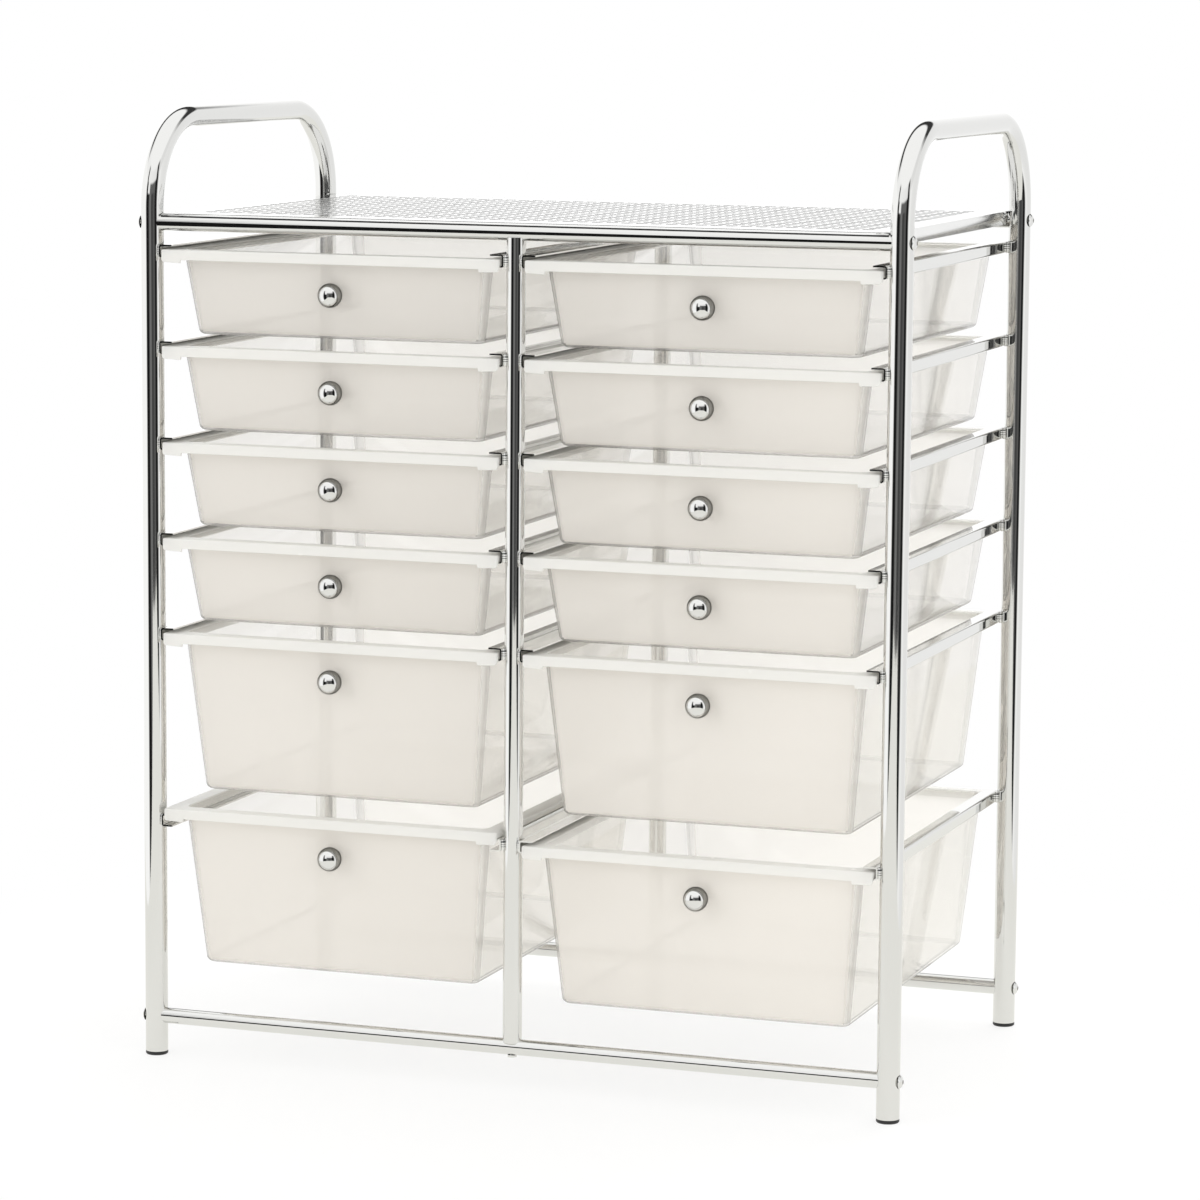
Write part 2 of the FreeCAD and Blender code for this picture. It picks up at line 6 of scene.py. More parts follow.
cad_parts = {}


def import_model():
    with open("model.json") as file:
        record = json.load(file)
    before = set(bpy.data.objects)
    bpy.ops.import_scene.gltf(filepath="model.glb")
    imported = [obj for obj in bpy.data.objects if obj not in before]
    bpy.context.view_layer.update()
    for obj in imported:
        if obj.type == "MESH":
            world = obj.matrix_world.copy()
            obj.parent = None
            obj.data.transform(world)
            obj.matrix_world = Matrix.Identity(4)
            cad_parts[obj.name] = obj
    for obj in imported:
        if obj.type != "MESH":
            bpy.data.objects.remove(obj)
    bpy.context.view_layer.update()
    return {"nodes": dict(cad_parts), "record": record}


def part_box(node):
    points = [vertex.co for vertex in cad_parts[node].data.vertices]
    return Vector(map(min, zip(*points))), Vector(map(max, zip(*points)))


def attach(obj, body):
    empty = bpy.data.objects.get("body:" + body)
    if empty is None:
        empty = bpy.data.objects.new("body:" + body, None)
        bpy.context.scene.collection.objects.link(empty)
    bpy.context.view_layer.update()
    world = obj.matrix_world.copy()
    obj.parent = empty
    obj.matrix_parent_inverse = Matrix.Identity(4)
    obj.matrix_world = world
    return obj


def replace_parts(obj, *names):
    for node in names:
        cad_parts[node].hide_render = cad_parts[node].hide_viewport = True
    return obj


# Looks of the storage cart. Metres, in the CAD's frame: X to the right, Y into the depth, Z up.
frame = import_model()
nodes = frame["nodes"]

MM = 0.001
COLUMNS = ("left", "right")
ROWS = range(1, 7)
DEEP_ROWS = (5, 6)

# Camera: worked out from the photograph's vanishing lines, for a square picture
CAMERA_PLACE = Vector((1.2350, -3.4486, 0.8683))
CAMERA_AZIMUTH = math.radians(19.582)
CAMERA_PITCH = math.radians(7.853)
CAMERA_ROLL = math.radians(0.439)
CAMERA_LENS = 137.12
SENSOR = 36.0

# Finishes: how fine their noise is, in waves per metre, and how plastic takes light
PLATING_CLOUDS = 18
PLATING_WAVES = 35
STEEL_GRAIN = 300
STEEL_ROUGHNESS = (0.25, 0.4)
PLUG_COLOUR = (0.012, 0.012, 0.013)
PLUG_CLOUDS = 200
PLUG_GRAIN = 1500
PLUG_RELIEF = 0.02 * MM
PLUG_ROUGHNESS = (0.35, 0.5)
PLASTIC_CLOUDS = 60
PLASTIC_GRAIN = 900
PLASTIC_IOR = 1.49
SEEN_THROUGH = (0.99, 0.982, 0.968)
SHEET_GLOSS = 0.04
GLOSS_POWER = 5
# How close to the edge the painted shade on plastic outlines gathers
PAINTED_OUTLINE_POWER = 2

# Drawers, as the CAD has them
WALL = 1.8 * MM
FLOOR = 2 * MM
RIM_SHEET = 1.8 * MM
RIM_SKIRT = 4.8 * MM
RIM_CORNER = 8 * MM
LIP_CORNER = 2 * MM
LIP_HEIGHT = 8 * MM
WING_HEIGHT = 10.5 * MM
WING_WIDTH = 17 * MM
WING_CORNER = 4.5 * MM
OVERHANG = {"side": 11.75 * MM, "front": 12 * MM, "rear": 9.5 * MM}
WALL_CORNER = 9 * MM
FLOOR_EDGE = 5 * MM
DRAFT = {False: 9 * MM, True: 12.5 * MM}
RIM_SOFTENING = 0.5 * MM
RIM_ROUND = 1.2 * MM
RIM_FILLET = 0.6 * MM
MOUTH_EDGE = 0.8 * MM
WALL_START = 0.04
CORNER_TAPER = 4
WING_STEP = 0.6 * MM
FLOOR_STEPS = 6
RIM_STEPS = 4
CORNER_STEPS = 8

# How nearly a drawer's face looks along the front wall's normal, and along an axis where the wall is flat
FRONT_TURN = 0.9
FLAT_TURN = 0.985

# Knobs
KNOB_DROP = 30.5 * MM
KNOB_REACH = 11.6 * MM
KNOB_RADIUS = 9.5 * MM
KNOB_NECK = 4.2 * MM
KNOB_FOOT = 4.8 * MM
KNOB_FOOT_HEIGHT = 0.8 * MM
KNOB_NECK_START = 1.4 * MM
KNOB_STEPS = 33
# Beyond this angle from the axis the ball is darker chrome, painted shade
KNOB_PAINTED_SHADE_START = math.radians(58)
KNOB_SCREW = 3.6 * MM
SCREW_PROFILE = ((1, 0), (1, 0.8 * MM), (0.7, 1.8 * MM), (0.25, 2.2 * MM))

# Tubes
TUBE_SIDES = 56
TUBE_RADIUS = 9 * MM
HANDLE_BEND = 70 * MM
BEND_STEPS = 24
BAR_RADIUS = 6.35 * MM
BAR_SINK = 0.1 * MM
POST_RADIUS = 7.5 * MM
POST_SADDLE = 2.5 * MM

# Runners and their welds
RUNNER_PITCH = 76 * MM
DEEP_PITCH = 150 * MM
RUNNER_HEIGHT = 10 * MM
WELD_RADIUS = 1.9 * MM
WELD_LENGTH = 9 * MM
WELD_OFFSET = 5 * MM
WELD_GAP = 0.7 * MM
WELD_RINGS = 13
WELD_END = 0.6
WELD_BLUNTNESS = 0.4
WELD_RIPPLE = 0.12

# Shelf
SHEET = 1 * MM
SHEET_SHARE = 0.98
SHELF_CURL = math.radians(40)
CURL_STEPS = 8
CURL_RADIUS = 6.6 * MM
SHELF_FLANGE = 10.7 * MM
FLANGE_SETBACK = 9 * MM
SLOT_PITCH = (12 * MM, 18 * MM)
SLOT_SIZE = (8 * MM, 4.2 * MM)
SLOT_MARGIN = (16 * MM, 14 * MM)
SLOT_BEVEL = 0.7

# Studio, in metres: the paper roll and its shadow
ROLL_COLOUR = (0.95, 0.945, 0.92)
ROLL_MIRRORED = (0.97, 0.965, 0.925)
ROLL_CLOUDS = 3
ROLL_ROUGHNESS = (0.6, 0.7)
ROLL_WIDTH = 1.9
ROLL_FRONT = 2.7
ROLL_REAR = 1.8
SHADOW_FADE = (0.3, 0.8)
SHADOW_SHARE = 0.22

# Light: plain on the object. In reflections, rings of (angle, brightness) one above the other, in degrees
# from the camera's side and positive to the right, and the heights in degrees where rings melt together
PLAIN_LIGHT = 1.0
OVERHEAD = 1.15
LOW_TOP = (12, 15)
NEXT_TOP = (23, 27)
HIGH_TOP = (37, 43)
LOW_RING = ((-180, 1.2), (-150, 1.15), (-66, 1.2), (-56, 0.01), (-34, 0.01), (-27, 0.16), (-14, 0.22),
            (-4, 0.06), (10, 0.08), (22, 0.13), (31, 0.01), (46, 0.01), (57, 1.15), (80, 1.0), (115, 0.97),
            (150, 1.0), (180, 1.2))
NEXT_RING = ((-180, 1.2), (-150, 1.15), (-66, 1.2), (-58, 0.01), (-48, 0.01), (-44, 1.1), (-31, 1.1),
             (-22, 0.15), (22, 0.15), (31, 0.01), (46, 0.01), (57, 1.15), (80, 1.0), (115, 0.97),
             (150, 1.0), (180, 1.2))
HIGH_RING = ((-180, 0.04), (-125, 0.05), (-105, 1.1), (-66, 1.1), (-60, 0.02), (-54, 0.02), (-50, 1.1),
             (30, 1.0), (34, 0.02), (44, 0.02), (52, 0.95), (105, 0.9), (125, 0.05), (180, 0.04))

# Lamps: place, aim, size and power
LAMPS = {
    "key": ((-1.7, -2.6, 1.6), (0, 0, 0.35), (1.6, 2.0), 15),
    "fill": ((2.4, -2.2, 1.2), (0, 0, 0.35), (1.4, 2.0), 10),
    "top": ((0, 0.4, 2.8), (0, 0, 0.4), (2.0, 1.4), 11),
    "back": ((0.6, 2.4, 0.9), (0, 0, 0.4), (2.4, 1.6), 42),
}


# Shaders

def new_material(name):
    """Material with its node tree and its Principled shader."""
    made = bpy.data.materials.new(name)
    made.use_nodes = True
    tree = made.node_tree
    return made, tree, tree.nodes["Principled BSDF"]


def add_node(tree, kind, **values):
    """Node with its attributes, in small letters, and its inputs, whose spaces are written as underscores."""
    made = tree.nodes.new(f"ShaderNode{kind}")
    for key, value in values.items():
        if key.islower():
            setattr(made, key, value)
        else:
            made.inputs[key.replace("_", " ")].default_value = value
    return made


def joined(tree, operation, first, second):
    """Result of a Math node on two values."""
    made = add_node(tree, "Math", operation=operation)
    for place, value in enumerate((first, second)):
        if isinstance(value, (int, float)):
            made.inputs[place].default_value = value
        else:
            tree.links.new(value, made.inputs[place])
    return made.outputs["Value"]


def mixed_shader(tree, share, first, second):
    """Mix of two shaders, with the second one's share from a value."""
    made = add_node(tree, "MixShader")
    tree.links.new(share, made.inputs["Fac"])
    tree.links.new(first, made.inputs[1])
    tree.links.new(second, made.inputs[2])
    return made.outputs["Shader"]


def noise(tree, scale, detail=2.0):
    """Noise in the object's own space."""
    place = add_node(tree, "TexCoord")
    made = add_node(tree, "TexNoise", Scale=scale, Detail=detail)
    tree.links.new(place.outputs["Object"], made.inputs["Vector"])
    return made.outputs["Fac"]


def ranged(tree, value, low, high):
    """Spread a 0 to 1 value between two numbers."""
    made = add_node(tree, "MapRange", To_Min=low, To_Max=high)
    tree.links.new(value, made.inputs["Value"])
    return made.outputs["Result"]


def bumped(tree, shader, height, distance):
    """Relief of that depth on a shader."""
    made = add_node(tree, "Bump", Strength=1.0, Distance=distance)
    tree.links.new(height, made.inputs["Height"])
    tree.links.new(made.outputs["Normal"], shader.inputs["Normal"])


def chrome(name, colour=(0.76, 0.76, 0.745), roughness=(0.03, 0.07), waviness=0.01, edge=1.0):
    """Bright plating with faint waves and a few duller places. edge below 1 darkens its outline: painted shade
    on the rim of its reflections.
    """
    made, tree, shader = new_material(name)
    shader.inputs["Base Color"].default_value = (*colour, 1)
    shader.inputs["Metallic"].default_value = 1
    shader.inputs["Specular Tint"].default_value = (edge, edge, edge, 1)
    tree.links.new(ranged(tree, noise(tree, PLATING_CLOUDS), *roughness), shader.inputs["Roughness"])
    bumped(tree, shader, noise(tree, PLATING_WAVES, detail=1), waviness * MM)
    return made


def steel(name, colour=(0.55, 0.55, 0.56)):
    """Plain satin metal."""
    made, tree, shader = new_material(name)
    shader.inputs["Base Color"].default_value = (*colour, 1)
    shader.inputs["Metallic"].default_value = 1
    tree.links.new(ranged(tree, noise(tree, STEEL_GRAIN), *STEEL_ROUGHNESS), shader.inputs["Roughness"])
    return made


def black_plastic(name):
    """Moulded black plastic with a fine grain."""
    made, tree, shader = new_material(name)
    shader.inputs["Base Color"].default_value = (*PLUG_COLOUR, 1)
    tree.links.new(ranged(tree, noise(tree, PLUG_CLOUDS), *PLUG_ROUGHNESS), shader.inputs["Roughness"])
    bumped(tree, shader, noise(tree, PLUG_GRAIN), PLUG_RELIEF)
    return made


def plastic(name, colour, clear, roughness, grain, glow=0.5, outline=1.0):
    """Moulded plastic. clear is the share of it that is a see-through sheet and glow how much light seeps
    through. outline below 1 darkens round corners where they turn away from the view: painted shade standing in
    for the dark edges that refraction gives there."""
    made, tree, shader = new_material(name)
    shader.inputs["IOR"].default_value = PLASTIC_IOR
    sheen = ranged(tree, noise(tree, PLASTIC_CLOUDS), *roughness)
    tree.links.new(sheen, shader.inputs["Roughness"])
    bumped(tree, shader, noise(tree, PLASTIC_GRAIN, detail=3), grain * MM)
    facing = add_node(tree, "LayerWeight", Blend=0.5).outputs["Facing"]
    turning = joined(tree, "POWER", facing, PAINTED_OUTLINE_POWER)
    seeping = add_node(tree, "BsdfTranslucent")
    through = add_node(tree, "BsdfTransparent")
    for target, tint in ((shader.inputs["Base Color"], colour), (seeping.inputs["Color"], colour),
                         (through.inputs["Color"], SEEN_THROUGH)):
        target.default_value = (*tint, 1)
        if outline < 1:
            darker = tuple(outline * channel for channel in tint)
            shade = add_node(tree, "MixRGB", Color1=(*tint, 1), Color2=(*darker, 1))
            tree.links.new(turning, shade.inputs["Fac"])
            tree.links.new(shade.outputs["Color"], target)
    body = add_node(tree, "MixShader", Fac=glow)
    tree.links.new(shader.outputs["BSDF"], body.inputs[1])
    tree.links.new(seeping.outputs["BSDF"], body.inputs[2])
    gloss = add_node(tree, "BsdfGlossy", Color=(1, 1, 1, 1))
    tree.links.new(sheen, gloss.inputs["Roughness"])
    mirroring = ranged(tree, joined(tree, "POWER", facing, GLOSS_POWER), SHEET_GLOSS, 1.0)
    sheet = mixed_shader(tree, mirroring, through.outputs["BSDF"], gloss.outputs["BSDF"])
    mixed = add_node(tree, "MixShader", Fac=clear)
    tree.links.new(body.outputs["Shader"], mixed.inputs[1])
    tree.links.new(sheet, mixed.inputs[2])
    tree.links.new(mixed.outputs["Shader"], tree.nodes["Material Output"].inputs["Surface"])
    return made


CHROME = chrome("plated_tube")
# Near-black steel for the shelf sheet's edges: painted shade for the shadow under the shelf seen through its
# slots
SLOT_EDGE_SHADE = steel("slot_edge_painted_shade", (0.06, 0.06, 0.062))
SHEET_CHROME = chrome("plated_sheet", colour=(0.84, 0.84, 0.83), roughness=(0.1, 0.18), waviness=0.03)
KNOB_CHROME = chrome("plated_knob", roughness=(0.02, 0.05), waviness=0.005, edge=0.1)
# Darker, rougher chrome for the knob's back half: painted shade for the dark ring of reflections round the ball
KNOB_PAINTED_SHADE = chrome("knob_painted_shade_chrome", colour=(0.36, 0.36, 0.35), roughness=(0.12, 0.2), waviness=0.005,
                    edge=0.1)
STEEL = steel("plain_steel")
BLACK = black_plastic("black_plug")
FROSTED = plastic("frosted_front", (0.89, 0.858, 0.81), 0.12, (0.32, 0.42), 0.03, glow=0.4)
# The rear wall's frosted plastic is a lighter, less clear copy of the front's: painted light for the backdrop
# glowing through it
REAR_PAINTED_LIGHT = plastic("frosted_rear_painted_light", (0.985, 0.98, 0.965), 0.04, (0.32, 0.42), 0.03, glow=0.45)
CLEAR = plastic("clear_wall", (0.985, 0.98, 0.965), 0.89, (0.03, 0.07), 0.003)
# Round wall corners: a darker, less clear copy of the clear plastic, with painted shade on their outlines
CORNER_PAINTED_SHADE = plastic("clear_corner_painted_shade", (0.93, 0.92, 0.89), 0.7, (0.08, 0.15), 0.003, outline=0.3)
RIM = plastic("rim", (0.93, 0.925, 0.9), 0.1, (0.2, 0.3), 0.01, glow=0.35)
MOULDING = [FROSTED, REAR_PAINTED_LIGHT, CLEAR, CORNER_PAINTED_SHADE, RIM]
FRONT_PART, REAR_PART, CLEAR_PART, CORNER_PART, RIM_PART = range(len(MOULDING))


# Shapes

def new_piece(name, vertices, faces, body, slot, materials, sharp, choose=None):
    """Smooth mesh riding on a body. Edges over sharp degrees stay sharp, and choose gives a face's place in the
    list of materials."""
    mesh = bpy.data.meshes.new(name)
    mesh.from_pydata([tuple(vertex) for vertex in vertices], [], faces)
    mesh.update()
    for material in materials:
        mesh.materials.append(material)
    for face in mesh.polygons:
        face.use_smooth = True
        if choose:
            face.material_index = choose(face)
    mesh.set_sharp_from_angle(angle=math.radians(sharp))
    piece = bpy.data.objects.new(name, mesh)
    bpy.context.scene.collection.objects.link(piece)
    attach(piece, body)
    return piece


def rings_to_faces(count, size):
    """Faces between count rings of size points each, one after the other, and a cap on each end."""
    faces = []
    for here in range(0, (count - 1) * size, size):
        for point in range(size):
            after = (point + 1) % size
            faces.append((here + point, here + after, here + size + after, here + size + point))
    faces.append(tuple(reversed(range(size))))
    faces.append(tuple(range((count - 1) * size, count * size)))
    return faces


def turned(profile, place, sides=64):
    """Vertices and faces of a profile (radius, height) turned round the Z axis of a placement."""
    vertices = []
    for radius, height in profile:
        for side in range(sides):
            angle = 2 * math.pi * side / sides
            vertices.append(place @ Vector((radius * math.cos(angle), radius * math.sin(angle), height)))
    return vertices, rings_to_faces(len(profile), sides)


def plan_ring(half, front, rear, corner, front_corner, stops, height):
    """Points of a box in plan, with round corners and extra points at the stops along its front, which draw
    together where the front is narrower than they are."""
    points = []
    scale = min(1, (half - front_corner) / (stops[-1] + MM))
    for centre_x, centre_y, radius, start in (
            (half - front_corner, front + front_corner, front_corner, -90),
            (half - corner, rear - corner, corner, 0),
            (corner - half, rear - corner, corner, 90),
            (front_corner - half, front + front_corner, front_corner, 180)):
        for step in range(CORNER_STEPS + 1):
            angle = math.radians(start + 90 * step / CORNER_STEPS)
            x, y = centre_x + radius * math.cos(angle), centre_y + radius * math.sin(angle)
            points.append(Vector((x, y, height)))
    return points + [Vector((stop * scale, front, height)) for stop in stops]


def smooth_corner(steps, size):
    """Steps (inwards, down) of a quarter round of that size."""
    turns = [math.pi / 2 * step / steps for step in range(steps + 1)]
    return [(size * (1 - math.cos(turn)), size * (1 - math.sin(turn))) for turn in turns]


def drawer(column, row):
    """Moulded drawer in one skin: rim and lip turned down, tapered walls, rounded floor."""
    node = f"{column}_drawer_{row}"
    low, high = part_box(node)
    middle, half = (low.x + high.x) / 2, (high.x - low.x) / 2
    depth, draft = high.z - low.z, DRAFT[row in DEEP_ROWS]
    wing = half - WING_WIDTH
    stops = [-wing - WING_STEP, -wing, -wing / 2, 0, wing / 2, wing, wing + WING_STEP]

    def ring(side, front, rear, height, corner, front_corner=None):
        """Ring that far inside the rim's edges."""
        return plan_ring(half - side, low.y + front, high.y - rear, corner, front_corner or corner, stops,
                         height)

    def wall_ring(inset, drop, corner):
        """Ring that far inside the wall's outer face at the rim."""
        return ring(OVERHANG["side"] + inset, OVERHANG["front"] + inset, OVERHANG["rear"] + inset, -drop,
                    corner)

    def hem(inset, drop, corner):
        """Lower edge of the rim: the skirt, or the lip with its taller ends along the front."""
        points = ring(inset, inset, inset, -RIM_SKIRT, max(RIM_CORNER - inset, corner),
                      max(LIP_CORNER - inset, corner))
        for point in points:
            if point.y < low.y + LIP_CORNER:
                point.z = -(WING_HEIGHT if abs(point.x) > wing + WING_STEP / 2 else LIP_HEIGHT)
                edge = abs(point.x) - (half - WING_CORNER)
                if edge > 0:
                    point.z += WING_CORNER - math.sqrt(max(WING_CORNER ** 2 - edge ** 2, 0))
            point.z += drop
        return points

    soft = RIM_SOFTENING
    rings = []
    # Outside: the floor's edge up to the rim's underside
    run = depth - FLOOR_EDGE
    for inwards, down in reversed(smooth_corner(FLOOR_STEPS, FLOOR_EDGE)):
        lean = draft + inwards
        rings.append(wall_ring(lean, depth - down, WALL_CORNER - lean / CORNER_TAPER))
    rings.append(wall_ring(WALL_START * draft, WALL_START * run + RIM_SHEET, WALL_CORNER))
    rings.append(wall_ring(-RIM_FILLET, RIM_SHEET, WALL_CORNER))
    # Rim: underside, hem and top
    rings.append(ring(RIM_SHEET, RIM_SHEET, RIM_SHEET, -RIM_SHEET, RIM_CORNER - RIM_SHEET, soft))
    rings.append(hem(RIM_SHEET, soft / 2, soft))
    rings.append(hem(RIM_SHEET / 2, 0, soft))
    rings.append(hem(0, soft / 2, soft))
    for inwards, down in smooth_corner(RIM_STEPS, RIM_ROUND):
        rings.append(ring(inwards, inwards, inwards, -down, RIM_CORNER - inwards, LIP_CORNER - inwards))
    # Inside: the mouth down to the floor
    corner = WALL_CORNER - WALL
    rings.append(wall_ring(WALL - RIM_FILLET, 0, corner))
    rings.append(wall_ring(WALL, MOUTH_EDGE, corner))
    for inwards, down in smooth_corner(FLOOR_STEPS, FLOOR_EDGE - WALL):
        lean = draft + inwards
        rings.append(wall_ring(WALL + lean, depth - FLOOR - down, corner - lean / CORNER_TAPER))
    vertices = [point + Vector((middle, 0, high.z)) for points in rings for point in points]
    wall_turn = FRONT_TURN * math.cos(math.atan(draft / run))

    def choose(face):
        """Solid rim, frosted outsides of the front wall and of the rear wall, the rear in a lighter copy that
        is painted light, clear flat walls, and round corners in a darker copy with painted shade.
        """
        if face.center.z > high.z - RIM_SKIRT - MM or face.center.y < low.y + RIM_SHEET * 1.5:
            return RIM_PART
        if face.normal.y * face.center.y > 0 and abs(face.normal.y) > wall_turn:
            return FRONT_PART if face.center.y < 0 else REAR_PART
        return CLEAR_PART if max(abs(turn) for turn in face.normal) > FLAT_TURN else CORNER_PART

    piece = new_piece(f"{node}_moulding", vertices, rings_to_faces(len(rings), len(rings[0])),
                      f"{column}_{row}", "drawer_frosted", MOULDING, sharp=40, choose=choose)
    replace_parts(piece, node)


def knob(column, row):
    """Chromed ball on a short neck, its back half a darker chrome that is painted shade, and the head of its
    screw inside the drawer.
    """
    low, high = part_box(f"{column}_drawer_{row}")
    draft = DRAFT[row in DEEP_ROWS]
    run = high.z - low.z - FLOOR_EDGE
    lean = math.atan(draft / run)
    wall = low.y + OVERHANG["front"] + draft * KNOB_DROP / run
    seat = Vector(((low.x + high.x) / 2, wall, high.z - KNOB_DROP))
    place = Matrix.Translation(seat) @ Matrix.Rotation(math.pi / 2 + lean, 4, "X")
    start = math.asin(KNOB_NECK / KNOB_RADIUS)
    back = KNOB_REACH - KNOB_RADIUS * math.cos(start)
    profile = [(KNOB_FOOT, 0), (KNOB_FOOT, KNOB_FOOT_HEIGHT), (KNOB_NECK, KNOB_NECK_START), (KNOB_NECK, back)]
    for step in range(1, KNOB_STEPS):
        angle = start + (math.pi - start) * step / KNOB_STEPS
        profile.append((KNOB_RADIUS * math.sin(angle), KNOB_REACH - KNOB_RADIUS * math.cos(angle)))
    centre = place @ Vector((0, 0, KNOB_REACH))
    axis = place.to_3x3() @ Vector((0, 0, 1))

    def choose(face):
        """Bright face in front, and behind it darker chrome: painted shade round the ball's edge."""
        return 0 if (face.center - centre).angle(axis) < KNOB_PAINTED_SHADE_START else 1

    ball = new_piece(f"{column}_knob_{row}_ball", *turned(profile, place), f"{column}_{row}", "knob_chrome",
                     [KNOB_CHROME, KNOB_PAINTED_SHADE], sharp=50, choose=choose)
    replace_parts(ball, f"{column}_knob_{row}")
    head = [(share * KNOB_SCREW, -WALL - height) for share, height in SCREW_PROFILE]
    new_piece(f"{column}_knob_{row}_screw", *turned(head, place, sides=24), f"{column}_{row}", "knob_chrome",
              [STEEL], sharp=50)


def tube(name, path, radius, shape_end=None):
    """Round tube along a path that lies in one plane. shape_end moves the points of the two end rings."""
    vertices = []
    start = path[1] - path[0]
    plane = start.cross(path[-1] - path[0])
    straight = plane.length < MM ** 3
    side = start.orthogonal().normalized() if straight else plane.normalized()
    for index, point in enumerate(path):
        before, after = path[max(index - 1, 0)], path[min(index + 1, len(path) - 1)]
        up = (after - before).normalized().cross(side)
        for step in range(TUBE_SIDES):
            angle = 2 * math.pi * step / TUBE_SIDES
            spot = point + radius * (math.cos(angle) * side + math.sin(angle) * up)
            if shape_end and index in (0, len(path) - 1):
                spot = shape_end(spot, index)
            vertices.append(spot)
    faces = rings_to_faces(len(path), TUBE_SIDES)
    return new_piece(name, vertices, faces, "frame", "frame_chrome", [CHROME], sharp=60)


def side_frame(side):
    """Legs and handle of one side in one bent tube."""
    node = f"{side}_side_frame"
    low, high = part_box(node)
    x = (low.x + high.x) / 2
    reach = high.y - TUBE_RADIUS
    top = high.z - TUBE_RADIUS
    foot = top - HANDLE_BEND
    path = [Vector((x, -reach, low.z)), Vector((x, -reach, foot - MM))]
    for centre, start in ((HANDLE_BEND - reach, 180), (reach - HANDLE_BEND, 90)):
        for step in range(BEND_STEPS + 1):
            angle = math.radians(start - 90 * step / BEND_STEPS)
            y, z = centre + HANDLE_BEND * math.cos(angle), foot + HANDLE_BEND * math.sin(angle)
            path.append(Vector((x, y, z)))
    path += [Vector((x, reach, foot - MM)), Vector((x, reach, low.z))]
    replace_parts(tube(f"{node}_tube", path, TUBE_RADIUS), node)


def bars_and_posts():
    """Cross bars cut to the legs' round at their ends, and centre posts saddled on the bars."""
    leg_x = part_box("right_side_frame")[1].x - TUBE_RADIUS
    for height in ("top", "bottom"):
        for end in ("front", "rear"):
            low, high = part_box(f"{height}_{end}_bar")
            middle = (low + high) / 2

            def cut(spot, index, y=middle.y):
                """End that follows the leg's round."""
                reach = leg_x - math.sqrt(TUBE_RADIUS ** 2 - (spot.y - y) ** 2) + BAR_SINK
                return Vector((-reach if index == 0 else reach, spot.y, spot.z))

            path = [Vector((x, middle.y, middle.z)) for x in (-leg_x, 0, leg_x)]
            bar = tube(f"{height}_{end}_bar_tube", path, BAR_RADIUS, shape_end=cut)
            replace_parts(bar, f"{height}_{end}_bar")
    for end in ("front", "rear"):
        foot, top = [(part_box(f"{height}_{end}_bar")[0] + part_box(f"{height}_{end}_bar")[1]) / 2
                     for height in ("bottom", "top")]

        def saddle(spot, index, foot=foot, top=top):
            """End that sits on the bar's round."""
            rise = math.sqrt(max(BAR_RADIUS ** 2 - (spot.y - foot.y) ** 2, 0))
            rise = max(rise, BAR_RADIUS - POST_SADDLE)
            return Vector((spot.x, spot.y, foot.z + rise if index == 0 else top.z - rise))

        path = [Vector((0, foot.y, z)) for z in (foot.z, (foot.z + top.z) / 2, top.z)]
        post = tube(f"centre_{end}_post_tube", path, POST_RADIUS, shape_end=saddle)
        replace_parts(post, f"centre_{end}_post")


